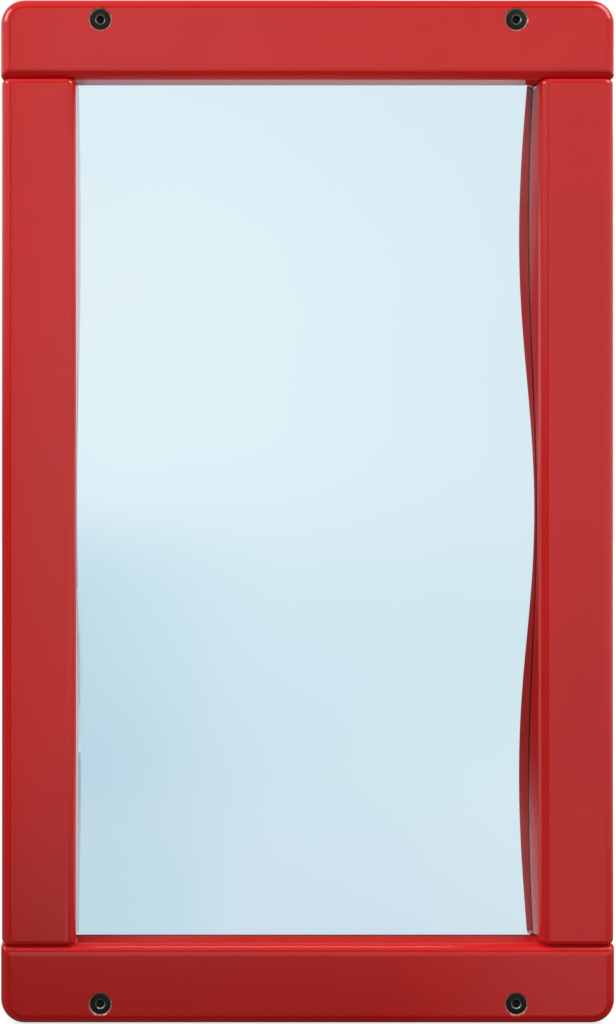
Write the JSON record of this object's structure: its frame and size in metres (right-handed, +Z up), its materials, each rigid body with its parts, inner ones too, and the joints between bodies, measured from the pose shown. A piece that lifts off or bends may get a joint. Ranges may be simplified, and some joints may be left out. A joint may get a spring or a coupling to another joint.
{
  "type": "mirror wall panel",
  "caption": "Upright wall panel with a wave-bent distorting mirror in a red lacquered frame of rails and stiles, screwed to the wall through its rails.",
  "frame": {"origin": "centre of the back face, which lies on the wall, midway between the wall screws", "axes": "+X right and +Z up as seen from the front, +Y into the wall, so the mirror faces -Y"},
  "size_m": [0.36, 0.0706, 0.6],
  "materials": {
    "red_lacquer": "gloss red lacquer on wood board",
    "mirror": "silvered acrylic, polished",
    "hardboard": "bare hardboard",
    "beech": "bare beech",
    "black_steel": "black oxide steel",
    "zinc_steel": "bright zinc plate"
  },
  "bodies": {
    "root": {"back_panel": "hardboard", "back_screw_1": "zinc_steel", "back_screw_2": "zinc_steel", "back_screw_3": "zinc_steel", "back_screw_4": "zinc_steel", "back_screw_5": "zinc_steel", "back_screw_6": "zinc_steel", "bottom_rail": "red_lacquer", "dowel_bottom_left_inner": "beech", "dowel_bottom_left_outer": "beech", "dowel_bottom_right_inner": "beech", "dowel_bottom_right_outer": "beech", "dowel_top_left_inner": "beech", "dowel_top_left_outer": "beech", "dowel_top_right_inner": "beech", "dowel_top_right_outer": "beech", "fixing_screw_bottom_left": "black_steel", "fixing_screw_bottom_right": "black_steel", "fixing_screw_top_left": "black_steel", "fixing_screw_top_right": "black_steel", "left_stile": "red_lacquer", "mirror_sheet": "mirror", "right_stile": "red_lacquer", "top_rail": "red_lacquer"}
  },
  "joints": []
}
